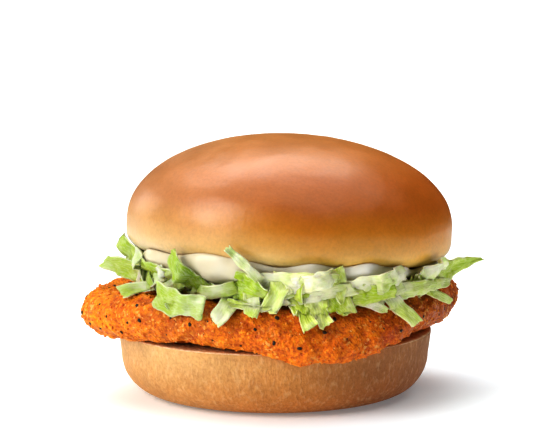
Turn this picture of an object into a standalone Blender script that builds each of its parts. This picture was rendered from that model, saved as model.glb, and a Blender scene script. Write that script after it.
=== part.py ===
"""A fried chicken burger, stacked as it is served.

From the bottom: bun heel, breaded chicken patty, heap of shredded lettuce, mayonnaise and
bun crown. Metres, +Z up. The origin is the centre of the heel's underside, and the side
with the most filling faces -Y.
"""

import math
import random

import bmesh
import bpy
from mathutils import Euler, Matrix, Vector, noise

MM = 0.001
GAP = 0.3 * MM  # air left between two pieces that touch

# Bun heel, the lower half of a 97 mm bun
HEEL_RADIUS = 48.4 * MM
HEEL_HEIGHT = 19.5 * MM
HEEL_CORNER = 12.0 * MM  # rounding of the lower edge
HEEL_LEAN = 0.8 * MM  # how far the wall leans in above that rounding
HEEL_RIM = 0.8 * MM  # rounding of the sliced rim
HEEL_STEPS = 48

# Bun crown, the upper half, 100 mm across, leaning back and to the right
CROWN_RADIUS = 50.0 * MM
CROWN_RISE = 27.9 * MM  # dome above the widest ring
CROWN_DROP = 12.1 * MM  # curve that the lower edge follows
CROWN_CUT = 10.8 * MM  # sliced face below the widest ring
DOME_POWER = 2.04
EDGE_POWER = 4.0
CROWN_SWELL = 0.5 * MM  # unevenness of the dome
CROWN_CENTRE = Vector((4.4, 0.0, 51.3)) * MM
CROWN_TILT = Euler((math.radians(-2.8), math.radians(2.5), 0.0))
CROWN_STEPS = 48
CROWN_FRAME = Matrix.LocRotScale(CROWN_CENTRE, CROWN_TILT, None)

# Breaded patty, a fillet that overhangs the bun on the left and at the back right
PATTY_REACH = 51.5 * MM
PATTY_HALF = 6.2 * MM  # half its thickness
PATTY_SEGMENTS = 96
PATTY_RINGS = 21
CRAG = 0.85 * MM  # height of the breading's crags
CRAG_SIZE = 6.0 * MM
# Direction in degrees, width in degrees, extra reach in mm
PATTY_LOBES = ((-165, 26, 8.5), (20, 18, 8.5), (-80, 32, 2.5))
# Direction, width, and how far the rim rises (+) off the heel in mm
PATTY_RISES = ((-119, 20, 1.8), (-25, 20, 1.6), (20, 20, 2.0))
PATTY_SAG = (-71, 25, 4.6)  # where the rim hangs over the heel

# Mayonnaise on the crown's sliced face
MAYO_REACH = 43.0 * MM
MAYO_THICKNESS = 1.5 * MM
MAYO_SEGMENTS = 48
MAYO_RINGS = 12
# Direction, width, extra reach in mm, extra thickness in mm where it is squeezed out
MAYO_LOBES = (
    (-142, 12, 4.5, 2.6),
    (-119, 14, 5.0, 3.0),
    (-102, 9, 2.5, 0.8),
    (-82, 10, 4.5, 2.2),
    (-62, 10, 4.5, 2.2),
    (-45, 9, 3.5, 1.4),
    (-20, 10, 4.0, 1.4),
    (28, 14, 4.0, 1.4),
    (85, 12, 3.6, 1.0),
    (140, 14, 4.4, 1.4),
)

# Shredded lettuce: a core under the mayonnaise, and shreds that lie against its rim
CORE_REACH = 49.0 * MM
CORE_WAVE = 0.4 * MM
HEAP_REACH = 47.3 * MM
SHRED_THICKNESS = 0.8 * MM
SHRED_ROOM = 0.7 * MM
SHRED_BENDS = 5
BROAD = 6.2  # a shred wider than this, in mm, also bends across
LAYERS = 3  # the shreds lie over one another in this many layers
LAYER_STEP = 0.4 * MM
SUNK = 0.6 * MM  # how deep a shred's start sits in the core's rim
# From the core's rim to the free tip: direction in degrees and height in mm of each; then
# width, how far the tip and the middle stand off the heap in mm, the twist in degrees, and
# how pointed the tip is
FRONT_SHREDS = (
    (-150, 39, -173, 48.0, 6.0, 1.5, 1.5, 50, 0.2),
    (-152, 38, -168, 42.0, 6.5, 5.0, 1.0, 25, 0.6),
    (-150, 46, -152, 35.5, 4.0, 1.0, 1.5, 20, 0.2),
    (-150, 41, -128, 41.0, 10.5, 1.0, 2.0, 20, 0.1),
    (-135, 38, -146, 34.5, 6.0, 1.0, 1.0, 10, 0.1),
    (-117, 37, -127, 47.3, 6.5, 1.5, 1.5, 20, 0.5),
    (-130, 43, -123, 33.0, 5.5, 1.0, 2.0, 30, 0.1),
    (-130, 35, -107, 33.5, 8.0, 1.0, 1.0, 10, 0.1),
    (-120, 36, -103, 38.5, 4.5, 1.0, 3.0, 20, 0.1),
    (-102, 39, -108, 29.5, 6.0, 1.0, 1.0, 15, 0.0),
    (-104, 40, -93, 36.0, 8.5, 1.5, 2.0, 30, 0.1),
    (-98, 39, -97, 31.5, 5.0, 1.0, 1.0, 10, 0.1),
    (-107, 34, -88, 31.5, 3.5, 1.0, 0.5, 10, 0.6),
    (-87, 42, -92, 32.0, 6.0, 1.0, 2.5, 20, 0.0),
    (-91, 38, -105, 50.5, 4.0, 1.5, 1.0, 15, 0.2),
    (-98, 41, -70, 41.5, 4.5, 1.5, 1.0, 15, 0.2),
    (-88, 38, -70, 43.0, 5.5, 1.5, 2.5, 20, 0.2),
    (-86, 36, -64, 38.5, 4.5, 1.0, 1.0, 15, 0.1),
    (-70, 44, -68, 34.0, 5.5, 2.5, 1.0, 15, 0.9),
    (-84, 37, -79, 28.0, 6.0, 1.0, 1.0, 10, 0.0),
    (-77, 37, -74, 28.5, 7.0, 0.5, 1.0, 15, 0.0),
    (-71, 37, -65, 30.0, 7.5, 0.5, 1.0, 10, 0.0),
    (-68, 37, -44, 41.5, 6.5, 1.0, 1.5, 20, 0.2),
    (-64, 36, -49, 37.0, 6.0, 1.0, 1.0, 15, 0.2),
    (-63, 36, -51, 31.0, 3.5, 1.0, 0.5, 15, 0.4),
    (-54, 36, -43, 25.5, 8.0, 1.5, 1.0, 15, 0.1),
    (-48, 36, -24, 36.5, 5.0, 1.5, 1.0, 10, 0.6),
    (-36, 37, -24, 42.5, 7.5, 3.0, 2.0, 35, 0.0),
    (-24, 37, -6, 41.0, 8.5, 10.5, 0.0, 10, 0.7),
    (-28, 36, -15, 35.5, 3.5, 2.5, 0.5, 10, 0.6),
    (-28, 35, -16, 29.5, 3.0, 3.0, 0.5, 10, 0.3),
)
BACK_SHREDS = 18  # spread by rule over the sides and the back, from BACK_FROM to BACK_TO
BACK_FROM = -4
BACK_TO = 192
SEED = 7


def lobe(azimuth, centre, width):
    """A smooth hump round one direction, 1 at its centre."""
    away = (math.degrees(azimuth) - centre + 180) % 360 - 180
    return math.exp(-((away / width) ** 2))


def ease(value, start, length):
    """0 before start, 1 after start + length, and smooth between."""
    share = min(max((value - start) / length, 0.0), 1.0)
    return share * share * (3 - 2 * share)


def polar(point):
    return math.hypot(point.x, point.y), math.atan2(point.y, point.x)


def at(radius, azimuth, height):
    return Vector((radius * math.cos(azimuth), radius * math.sin(azimuth), height))


def slab_section(share, reach, half):
    """Radius and height on a round-edged slab: share 0 is the top's centre, 1 the underside's."""
    flat = 0.34
    inward = min(share, 1 - share) / flat
    if inward < 1:
        return (reach - half) * (1 - (1 - inward) ** 2), half if share < 0.5 else -half
    turn = math.pi * (share - flat) / (1 - 2 * flat)
    return reach - half + half * math.sin(turn), half * math.cos(turn)


# The patty's form

def patty_reach(azimuth):
    reach = PATTY_REACH + sum(lobe(azimuth, c, w) * extra for c, w, extra in PATTY_LOBES) * MM
    return reach + (0.5 * math.sin(5 * azimuth + 1) + 0.35 * math.sin(9 * azimuth + 2)) * MM


def patty_half(azimuth, radius):
    """Half the thickness, a little more at the left and less at the back."""
    uneven = 0.5 * lobe(azimuth, -165, 50) - 0.4 * lobe(azimuth, 90, 60)
    return PATTY_HALF + uneven * ease(radius, 15 * MM, 27 * MM) * MM


def patty_lift(azimuth, radius):
    """How far the slab is bent up or down at a place."""
    up = sum(lobe(azimuth, c, w) * height for c, w, height in PATTY_RISES)
    centre, width, down = PATTY_SAG
    sag = lobe(azimuth, centre, width) * down
    return (up * ease(radius, 36 * MM, 14 * MM) - sag * ease(radius, 47.5 * MM, 4.5 * MM)) * MM


def patty_top(azimuth, radius):
    return HEEL_HEIGHT + GAP + 2 * patty_half(azimuth, radius) + patty_lift(azimuth, radius)


def patty_point(azimuth, share):
    reach = patty_reach(azimuth)
    radius, height = slab_section(share, reach, patty_half(azimuth, reach))
    half = patty_half(azimuth, radius)
    height *= half / patty_half(azimuth, reach)
    base = HEEL_HEIGHT + GAP + half
    point = at(radius, azimuth, base + height)
    rough = noise.noise(point / CRAG_SIZE) + 0.5 * noise.noise(point / (0.45 * CRAG_SIZE))
    outward = ease(radius, reach - 2 * half, 2 * half)
    grown = radius + CRAG * rough * outward
    height = point.z + patty_lift(azimuth, radius) + CRAG * rough * height / half
    if grown < HEEL_RADIUS + 1.6 * MM:
        height = max(height, HEEL_HEIGHT + GAP)
    return at(grown, azimuth, height)


# The crown's and the mayonnaise's form, in the crown's own frame

def crown_under(radius):
    """Height of the crown's lower surface, its flat slice and its rounded edge."""
    edge = max(0.0, 1 - (radius / CROWN_RADIUS) ** EDGE_POWER) ** (1 / EDGE_POWER)
    return -min(CROWN_CUT, CROWN_DROP * edge)


def crown_wall(height):
    """Radius of the crown at a height."""
    if height < 0:
        span, power = CROWN_DROP, EDGE_POWER
    else:
        span, power = CROWN_RISE, DOME_POWER
    return CROWN_RADIUS * max(0.0, 1 - (abs(height) / span) ** power) ** (1 / power)


def mayo_reach(azimuth):
    return MAYO_REACH + sum(lobe(azimuth, c, w) * extra for c, w, extra, _ in MAYO_LOBES) * MM


def mayo_thickness(azimuth, radius):
    extra = sum(lobe(azimuth, c, w) * thick for c, w, _, thick in MAYO_LOBES)
    return MAYO_THICKNESS + extra * ease(radius, 22 * MM, 24 * MM) * MM


def mayo_top(radius):
    """It follows the crown, a little further away where the crown's edge is steep."""
    return crown_under(max(radius - MM, 0.0)) - GAP


def mayo_under(azimuth, radius):
    return mayo_top(radius) - mayo_thickness(azimuth, radius)


def mayo_point(azimuth, share):
    reach = mayo_reach(azimuth)
    radius, height = slab_section(share, reach, mayo_thickness(azimuth, reach) / 2)
    half = mayo_thickness(azimuth, radius) / 2
    height *= half / (mayo_thickness(azimuth, reach) / 2)
    return at(radius, azimuth, mayo_top(radius) - half + height)


# The lettuce's form

def core_point(azimuth, share):
    """The core fills the space between the patty and the mayonnaise."""
    reach = CORE_REACH + CORE_WAVE * (math.sin(7 * azimuth) + 0.6 * math.sin(12 * azimuth + 1))
    radius, height = slab_section(share, reach, 2 * MM)
    top = CROWN_FRAME @ at(radius, azimuth, mayo_under(azimuth, radius) - 2.5 * GAP)
    world_radius, world_azimuth = polar(top)
    low = patty_top(world_azimuth, world_radius) + CRAG + 2 * GAP
    return Vector((top.x, top.y, low + (top.z - low) * (0.5 + 0.25 * height / MM)))


def patty_side(azimuth, height, room):
    """Radius just outside the patty's rim at a height, or 0 above and below it."""
    reach = patty_reach(azimuth)
    half = patty_half(azimuth, reach)
    up = height - (HEEL_HEIGHT + GAP + half + patty_lift(azimuth, reach))
    needed = half + CRAG + room
    if abs(up) >= needed:
        return 0.0
    return reach - half + math.sqrt(needed ** 2 - up ** 2)


def crown_side(azimuth, height, room):
    """Radius just outside the crown or the mayonnaise at a height, or 0 below them."""
    inwards = CROWN_FRAME.inverted()
    radius = CROWN_RADIUS
    for _ in range(3):
        local = inwards @ at(radius, azimuth, height)
        local_radius, local_azimuth = polar(local)
        reach = mayo_reach(local_azimuth)
        if local.z < mayo_under(local_azimuth, reach) - room:
            return 0.0
        outer = crown_wall(min(max(local.z, 0.1 * MM - CROWN_DROP), CROWN_RISE - MM))
        radius += max(outer, reach) + room - local_radius
    return radius


def heap_rim(azimuth):
    return HEAP_REACH + CROWN_CENTRE.x * math.cos(azimuth)


def heap_wall(azimuth, height):
    """Radius at which a shred lies against the burger's side at a height."""
    room = SHRED_ROOM + SHRED_THICKNESS / 2
    side = max(patty_side(azimuth, height, room), crown_side(azimuth, height, room))
    return max(heap_rim(azimuth), side)


def core_rim_height(azimuth):
    """Height of the middle of the core's rim, between the patty and the mayonnaise."""
    rim = CROWN_FRAME @ at(HEAP_REACH, azimuth, mayo_under(azimuth, HEAP_REACH))
    return (rim.z + patty_top(azimuth, heap_rim(azimuth)) + CRAG) / 2


def clear_of_crown(point, room):
    """Pushes a point out of the crown and the mayonnaise, to room away from them."""
    radius, azimuth = polar(point)
    return at(max(radius, crown_side(azimuth, point.z, room)), azimuth, point.z)


def clear_of_patty(point, room):
    """Pushes a point out of the patty, to room away from it."""
    radius, azimuth = polar(point)
    reach = patty_reach(azimuth)
    half = patty_half(azimuth, radius)
    centre = HEEL_HEIGHT + GAP + half + patty_lift(azimuth, radius)
    needed = half + CRAG + room
    out, up = max(radius - (reach - half), 0.0), point.z - centre
    away = math.hypot(out, up)
    if away >= needed or (out == 0 and up < 0):
        return point
    push = needed / max(away, 0.01 * MM)
    return at(radius + out * (push - 1), azimuth, centre + up * push)


def shred_spine(shred, layer, along):
    """Where the middle of a shred runs, from inside the core's rim to its free tip."""
    start, start_height, end, end_height, _, tip, bow, _, _ = shred
    azimuth = math.radians(start + (end - start) * along)
    height = (start_height + (end_height - start_height) * along) * MM
    stand_off = LAYER_STEP * layer - SUNK * (1 - along) ** 4
    stand_off += (tip * along ** 2 + bow * math.sin(math.pi * along)) * MM
    return at(heap_wall(azimuth, height) + stand_off, azimuth, height)


def shred_half_width(shred, along):
    """Nearly even along the shred, and narrower or pointed at the tip."""
    width, point = shred[4], shred[8]
    return 0.5 * width * MM * (1 - (0.15 + 0.8 * point) * along ** 3)


def shred_sheet(shred, layer, columns):
    """The shred's middle surface, a grid bent along its spine, as rows of points."""
    spine = [shred_spine(shred, layer, i / SHRED_BENDS) for i in range(SHRED_BENDS + 1)]
    ahead = (spine[-1] - spine[0]).normalized()
    out = Vector((spine[-1].x, spine[-1].y, 0)).normalized()
    across = ahead.cross(out).normalized()
    room = SHRED_ROOM + SHRED_THICKNESS / 2
    rows = []
    for i, middle in enumerate(spine):
        along = i / SHRED_BENDS
        turn = Matrix.Rotation(math.radians(shred[7]) * along, 3, ahead)
        side = turn @ across * shred_half_width(shred, along)
        wave = out * 0.5 * MM * math.sin(9 * along + shred[0])
        row = []
        for j in range(columns + 1):
            over = 2 * j / columns - 1
            point = middle + side * over + wave * over * over
            row.append(clear_of_crown(clear_of_patty(point, room), room))
        rows.append(row)
    return rows


# Building the pieces

def clear_scene():
    for obj in list(bpy.data.objects):
        bpy.data.objects.remove(obj, do_unlink=True)


def collection(name):
    made = bpy.data.collections.new(name)
    bpy.context.scene.collection.children.link(made)
    return made


def material(name, colour, roughness):
    made = bpy.data.materials.new(name)
    made.use_nodes = True
    shader = made.node_tree.nodes["Principled BSDF"]
    shader.inputs["Base Color"].default_value = (*colour, 1.0)
    shader.inputs["Roughness"].default_value = roughness
    shader.inputs["Metallic"].default_value = 0.0
    return made


def add(name, mesh, finish, into):
    obj = bpy.data.objects.new(name, mesh)
    obj.data.materials.clear()
    obj.data.materials.append(finish)
    obj.data.shade_smooth()
    into.objects.link(obj)
    return obj


def evaluated_mesh(obj):
    graph = bpy.context.evaluated_depsgraph_get()
    return bpy.data.meshes.new_from_object(obj.evaluated_get(graph))


def turned(name, profile, steps, finish, into):
    """A profile of (radius, height) pairs, top to bottom, turned about Z."""
    mesh = bpy.data.meshes.new(name + "_profile")
    edges = [(i, i + 1) for i in range(len(profile) - 1)]
    mesh.from_pydata([(radius, 0, height) for radius, height in profile], edges, [])
    draft = bpy.data.objects.new(name + "_profile", mesh)
    into.objects.link(draft)
    screw = draft.modifiers.new("turn", "SCREW")
    screw.steps = screw.render_steps = steps
    screw.use_merge_vertices = True
    screw.merge_threshold = 0.01 * MM
    solid = evaluated_mesh(draft)
    bpy.data.objects.remove(draft)
    return add(name, solid, finish, into)


def slab(name, segments, rings, place, finish, into):
    """A ball's skin, each point moved to where place(azimuth, share from top to bottom) says."""
    bm = bmesh.new()
    bmesh.ops.create_uvsphere(bm, u_segments=segments, v_segments=rings, radius=1)
    for vert in bm.verts:
        share = math.acos(min(max(vert.co.z, -1.0), 1.0)) / math.pi
        vert.co = place(math.atan2(vert.co.y, vert.co.x), share)
    bmesh.ops.recalc_face_normals(bm, faces=bm.faces)
    mesh = bpy.data.meshes.new(name)
    bm.to_mesh(mesh)
    bm.free()
    return add(name, mesh, finish, into)


def heel_profile():
    rim_centre = (HEEL_RADIUS - HEEL_RIM, HEEL_HEIGHT - HEEL_RIM)
    rim = [
        (rim_centre[0] + HEEL_RIM * math.sin(a), rim_centre[1] + HEEL_RIM * math.cos(a))
        for a in (0.0, math.pi / 4, math.pi / 2)
    ]
    wall = HEEL_RADIUS - HEEL_LEAN
    low = [
        (wall - HEEL_CORNER * (1 - math.cos(a)), HEEL_CORNER * (1 - math.sin(a)))
        for a in (math.radians(d) for d in range(0, 91, 15))
    ]
    return [(0, HEEL_HEIGHT), (HEEL_RADIUS / 2, HEEL_HEIGHT), *rim, *low, (0, 0)]


def crown_profile():
    dome = [
        (CROWN_RADIUS * math.sin(a) ** (2 / DOME_POWER), CROWN_RISE * math.cos(a) ** (2 / DOME_POWER))
        for a in (math.radians(d) for d in range(0, 90, 9))
    ]
    slice_radius = CROWN_RADIUS * (1 - (CROWN_CUT / CROWN_DROP) ** EDGE_POWER) ** (1 / EDGE_POWER)
    radii = (50.0, 49.9, 49.5, 48.6, 47.2, 45.2, 42.6)
    edge = [(radius * MM, crown_under(radius * MM)) for radius in radii]
    return [*dome, *edge, (slice_radius, -CROWN_CUT), (slice_radius / 2, -CROWN_CUT), (0, -CROWN_CUT)]


def swell_dome(crown):
    """Makes the dome as slightly uneven as a baked bun."""
    for vert in crown.data.vertices:
        if vert.co.z > 0:
            radius, azimuth = polar(vert.co)
            share = math.sin(math.pi * min(vert.co.z / CROWN_RISE, 1.0))
            swell = math.sin(2 * azimuth + 0.6) + 0.6 * math.sin(3 * azimuth + 2.0)
            vert.co = at(radius + CROWN_SWELL * swell * share, azimuth, vert.co.z)


def shred_solid(name, shred, layer, finish, into):
    """One shred: a triangulated sheet with an even thickness."""
    columns = 2 if shred[4] > BROAD else 1
    rows = shred_sheet(shred, layer, columns)
    bm = bmesh.new()
    bmesh.ops.create_grid(bm, x_segments=columns, y_segments=SHRED_BENDS, size=1)
    for vert in bm.verts:
        i = round((vert.co.y + 1) / 2 * SHRED_BENDS)
        j = round((vert.co.x + 1) / 2 * columns)
        vert.co = rows[i][j]
    bmesh.ops.triangulate(bm, faces=bm.faces)
    mesh = bpy.data.meshes.new(name)
    bm.to_mesh(mesh)
    bm.free()
    draft = add(name, mesh, finish, into)
    thicken = draft.modifiers.new("thicken", "SOLIDIFY")
    thicken.thickness = SHRED_THICKNESS
    thicken.offset = 0
    draft.data = evaluated_mesh(draft)
    draft.modifiers.clear()
    return draft


def back_shreds():
    """Shreds for the sides and the back, evenly spread with seeded unevenness."""
    rng = random.Random(SEED)
    for i in range(BACK_SHREDS):
        start = BACK_FROM + (BACK_TO - BACK_FROM) * (i + 0.5) / BACK_SHREDS + rng.uniform(-3, 3)
        start_height = core_rim_height(math.radians(start)) / MM
        end = start + rng.uniform(-12, 12)
        end_height = start_height + rng.uniform(-6, 2.5)
        yield (start, start_height, end, end_height, rng.uniform(5, 8.5), rng.uniform(0.5, 4),
               rng.uniform(0.5, 2), rng.uniform(-25, 25), rng.uniform(0, 0.6))


def fuse(core, shreds):
    """Joins the shreds to the core as one body and drops what is left loose."""
    union = core.modifiers.new("fuse", "BOOLEAN")
    union.operation = "UNION"
    union.operand_type = "COLLECTION"
    union.collection = shreds
    union.solver = "MANIFOLD"
    core.data = evaluated_mesh(core)
    core.modifiers.clear()
    for obj in list(shreds.objects):
        bpy.data.objects.remove(obj)
    bpy.data.collections.remove(shreds)
    bm = bmesh.new()
    bm.from_mesh(core.data)
    left = set(bm.verts)
    bodies = []
    while left:
        body, edge = set(), [left.pop()]
        while edge:
            vert = edge.pop()
            body.add(vert)
            found = {e.other_vert(vert) for e in vert.link_edges} & left
            left -= found
            edge.extend(found)
        bodies.append(body)
    largest = max(bodies, key=len)
    bmesh.ops.delete(bm, geom=[v for v in bm.verts if v not in largest])
    bm.to_mesh(core.data)
    bm.free()


def build():
    clear_scene()
    burger = collection("chicken_burger")
    loose = collection("loose_shreds")

    crust = material("toasted_bun", (0.62, 0.33, 0.12), 0.6)
    heel = turned("bun_heel", heel_profile(), HEEL_STEPS, crust, burger)
    heel.data.set_sharp_from_angle(angle=math.radians(50))

    crown_frame = bpy.data.objects.new("crown_frame", None)
    crown_frame.location = CROWN_CENTRE
    crown_frame.rotation_euler = CROWN_TILT
    burger.objects.link(crown_frame)
    glaze = material("glazed_bun", (0.58, 0.22, 0.05), 0.35)
    crown = turned("bun_crown", crown_profile(), CROWN_STEPS, glaze, burger)
    swell_dome(crown)
    crown.parent = crown_frame

    breading = material("breading", (0.72, 0.2, 0.02), 0.5)
    slab("chicken_patty", PATTY_SEGMENTS, PATTY_RINGS, patty_point, breading, burger)

    cream = material("mayonnaise", (0.86, 0.83, 0.66), 0.3)
    mayo = slab("mayonnaise", MAYO_SEGMENTS, MAYO_RINGS, mayo_point, cream, burger)
    mayo.parent = crown_frame

    leaf = material("lettuce", (0.42, 0.62, 0.13), 0.4)
    core = slab("shredded_lettuce", MAYO_SEGMENTS, MAYO_RINGS, core_point, leaf, burger)
    for number, shred in enumerate([*FRONT_SHREDS, *back_shreds()]):
        shred_solid(f"shred_{number:02d}", shred, number % LAYERS, leaf, loose)
    fuse(core, loose)


build()
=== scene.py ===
import math
import random

import bmesh
import bpy
from mathutils import Euler, Matrix, Vector, noise


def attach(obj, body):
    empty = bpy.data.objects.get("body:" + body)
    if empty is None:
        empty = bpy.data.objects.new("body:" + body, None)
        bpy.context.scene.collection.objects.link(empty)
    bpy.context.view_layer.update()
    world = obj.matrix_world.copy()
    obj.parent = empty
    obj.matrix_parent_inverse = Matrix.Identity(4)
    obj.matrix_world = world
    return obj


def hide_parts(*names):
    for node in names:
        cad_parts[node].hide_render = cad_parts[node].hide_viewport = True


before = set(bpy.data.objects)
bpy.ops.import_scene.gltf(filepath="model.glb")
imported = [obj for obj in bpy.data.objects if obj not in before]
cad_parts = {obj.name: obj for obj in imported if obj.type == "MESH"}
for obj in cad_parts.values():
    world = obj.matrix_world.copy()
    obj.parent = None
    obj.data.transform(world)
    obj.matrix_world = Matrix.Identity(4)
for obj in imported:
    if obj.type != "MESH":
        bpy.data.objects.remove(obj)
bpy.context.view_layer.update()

print("frame loaded:", ", ".join(sorted(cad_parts)))

# Lengths are in millimetres until a mesh is made, and angles in degrees.
# Direction -90 is the front, 0 the right and 180 the left.
mm = 0.001
gap = 0.3  # air between two layers

bun = {
    "heelRadius": 48.4, "heelHeight": 19.5, "heelCorner": 12.0, "heelLean": 0.8, "heelRim": 0.8,
    "crownRadius": 50.0, "crownRise": 27.9, "crownDrop": 12.1, "crownCut": 10.8,
    "domePower": 2.04, "edgePower": 4.0, "swell": 0.5,
    "crownCentre": (4.4, 0.0, 51.3), "crownTilt": (-2.8, 2.5),
}
patty = {
    "reach": 51.5, "half": 6.2, "crag": 0.85, "cragSize": 6.0,
    "lobes": ((-165, 26, 8.5), (20, 18, 8.5), (-80, 32, 2.5)),  # direction, width, how far out
    "rises": ((-119, 20, 1.8), (-25, 20, 1.6), (20, 20, 2.0)),
    "sag": (-71, 25, 4.6),  # where the rim hangs over the heel
}
mayo = {
    "reach": 43.0, "thickness": 1.5,
    "lobes": (  # direction, width, how far out, how much thicker
        (-147, 15, 6.0, 3.2), (-119, 15, 7.0, 4.2), (-102, 9, 3.0, 0.8), (-82, 10, 5.5, 2.6),
        (-62, 10, 6.0, 3.0), (-45, 9, 4.0, 1.4), (-20, 10, 5.0, 2.2), (28, 14, 4.0, 1.4),
        (85, 12, 3.6, 1.0), (140, 14, 4.4, 1.4),
    ),
}
crownCentre = Vector(bun["crownCentre"])
crownTilt = Euler((math.radians(bun["crownTilt"][0]), math.radians(bun["crownTilt"][1]), 0))
crownPlace = Matrix.LocRotScale(crownCentre, crownTilt, None)
crownBack = crownPlace.inverted()


def hump(angle, centre, width):
    away = (math.degrees(angle) - centre + 180) % 360 - 180
    return math.exp(-((away / width) ** 2))


def ease(value, start, length):
    share = min(max((value - start) / length, 0.0), 1.0)
    return share * share * (3 - 2 * share)


def polar(point):
    return math.hypot(point.x, point.y), math.atan2(point.y, point.x)


def at(radius, angle, height):
    return Vector((radius * math.cos(angle), radius * math.sin(angle), height))


def slabSection(share, reach, half):  # share 0 is the middle of the top, 1 that of the underside
    flat = 0.34
    inward = min(share, 1 - share) / flat
    if inward < 1:
        return (reach - half) * (1 - (1 - inward) ** 2), half if share < 0.5 else -half
    turn = math.pi * (share - flat) / (1 - 2 * flat)
    return reach - half + half * math.sin(turn), half * math.cos(turn)


def pattyReach(angle):
    reach = patty["reach"] + sum(hump(angle, c, w) * extra for c, w, extra in patty["lobes"])
    return reach + 0.5 * math.sin(5 * angle + 1) + 0.35 * math.sin(9 * angle + 2)


def pattyHalf(angle, radius):
    uneven = 0.5 * hump(angle, -165, 50) - 0.4 * hump(angle, 90, 60)
    return patty["half"] + uneven * ease(radius, 15, 27)


def pattyLift(angle, radius):
    up = sum(hump(angle, c, w) * height for c, w, height in patty["rises"])
    centre, width, down = patty["sag"]
    return up * ease(radius, 36, 14) - hump(angle, centre, width) * down * ease(radius, 47.5, 4.5)


def pattyTop(angle, radius):
    return bun["heelHeight"] + gap + 2 * pattyHalf(angle, radius) + pattyLift(angle, radius)


def crownUnder(radius):
    edge = max(0.0, 1 - (radius / bun["crownRadius"]) ** bun["edgePower"]) ** (1 / bun["edgePower"])
    return -min(bun["crownCut"], bun["crownDrop"] * edge)


def crownWall(height):
    if height < 0:
        span, power = bun["crownDrop"], bun["edgePower"]
    else:
        span, power = bun["crownRise"], bun["domePower"]
    return bun["crownRadius"] * max(0.0, 1 - (abs(height) / span) ** power) ** (1 / power)


def mayoReach(angle):
    return mayo["reach"] + sum(hump(angle, c, w) * extra for c, w, extra, _ in mayo["lobes"])


def mayoThickness(angle, radius):
    extra = sum(hump(angle, c, w) * thick for c, w, _, thick in mayo["lobes"])
    return mayo["thickness"] + extra * ease(radius, 22, 24)


def mayoTop(radius):
    return crownUnder(max(radius - 1, 0.0)) - gap


def mayoUnder(angle, radius):
    return mayoTop(radius) - mayoThickness(angle, radius)


# Meshes

def objectFrom(name, mesh):
    made = bpy.data.objects.new(name, mesh)
    bpy.context.scene.collection.objects.link(made)
    mesh.shade_smooth()
    return made


def applied(source, name):  # the evaluated object as a plain mesh; the source goes
    bpy.context.view_layer.update()
    graph = bpy.context.evaluated_depsgraph_get()
    mesh = bpy.data.meshes.new_from_object(source.evaluated_get(graph))
    mesh.name = name
    bpy.data.objects.remove(source)
    return mesh


def grown(name, source, tree, settings):  # a node tree's result on a mesh, as a plain mesh
    draft = bpy.data.objects.new(name, source)
    bpy.context.scene.collection.objects.link(draft)
    grower = draft.modifiers.new("grow", "NODES")
    grower.node_group = tree
    for item in tree.interface.items_tree:
        if item.in_out == "INPUT" and item.name in settings:
            grower[item.identifier] = settings[item.name]
    return applied(draft, name)


def faceOutwards(mesh):
    bm = bmesh.new()
    bm.from_mesh(mesh)
    bmesh.ops.recalc_face_normals(bm, faces=bm.faces)
    bm.to_mesh(mesh)
    bm.free()


# A ball's skin with each point where place puts it. Its own loops keep the points in one order,
# so that what is scattered over it lands in the same places each run.
def ballSkin(segments, rings, place):
    bm = bmesh.new()
    angles = [2 * math.pi * i / segments - math.pi for i in range(segments)]
    rows = [[bm.verts.new(place(angle, j / rings)) for angle in angles] for j in range(1, rings)]
    top, bottom = bm.verts.new(place(0, 0)), bm.verts.new(place(0, 1))
    for i in range(segments):
        after = (i + 1) % segments
        bm.faces.new((top, rows[0][i], rows[0][after]))
        for upper, lower in zip(rows, rows[1:]):
            bm.faces.new((upper[i], lower[i], lower[after], upper[after]))
        bm.faces.new((bottom, rows[-1][after], rows[-1][i]))
    bmesh.ops.recalc_face_normals(bm, faces=bm.faces)
    bm.normal_update()
    return bm


def meshOf(bm, name):
    for vert in bm.verts:
        vert.co *= mm
    mesh = bpy.data.meshes.new(name)
    bm.to_mesh(mesh)
    bm.free()
    return mesh


def dress(piece, nodeName, material):
    piece.data.materials.clear()
    piece.data.materials.append(material)
    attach(piece, "root")
    if nodeName:
        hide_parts(nodeName)
    print(piece.name + ":", len(piece.data.polygons), "faces")


# Nodes

def node(tree, kind, inputs=None, **settings):
    made = tree.nodes.new(kind)
    for key, value in settings.items():
        setattr(made, key, value)
    for key, value in (inputs or {}).items():
        if isinstance(value, bpy.types.NodeSocket):
            tree.links.new(value, made.inputs[key])
        else:
            made.inputs[key].default_value = value
    return made


def ramp(tree, factor, *stops):
    made = node(tree, "ShaderNodeValToRGB", {0: factor})
    points = made.color_ramp.elements
    while len(points) < len(stops):
        points.new(0.5)
    for point, (position, colour) in zip(points, stops):
        point.position = position
        point.color = (*colour, 1) if isinstance(colour, tuple) else (colour, colour, colour, 1)
    return made.outputs[0]


def mixed(tree, factor, first, second, blend="MIX"):
    made = node(tree, "ShaderNodeMix", data_type="RGBA", blend_type=blend)
    for key, value in ((0, factor), (6, first), (7, second)):
        if isinstance(value, bpy.types.NodeSocket):
            tree.links.new(value, made.inputs[key])
        else:
            made.inputs[key].default_value = (*value, 1) if isinstance(value, tuple) else value
    return made.outputs[2]


def maths(tree, kind, first, second=0.0, third=0.0):
    return node(tree, "ShaderNodeMath", {0: first, 1: second, 2: third}, operation=kind).outputs[0]


def spread(tree, value, low, high, newLow, newHigh):
    made = node(tree, "ShaderNodeMapRange", {0: value, 1: low, 2: high, 3: newLow, 4: newHigh})
    return made.outputs[0]


def coordinate(tree, vector, axis):
    return node(tree, "ShaderNodeSeparateXYZ", {0: vector}).outputs[axis]


def fromLeft(tree, place, low, high):  # 0 where x is low to 1 where x is high
    return spread(tree, coordinate(tree, place, "X"), low, high, 0.0, 1.0)


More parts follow.
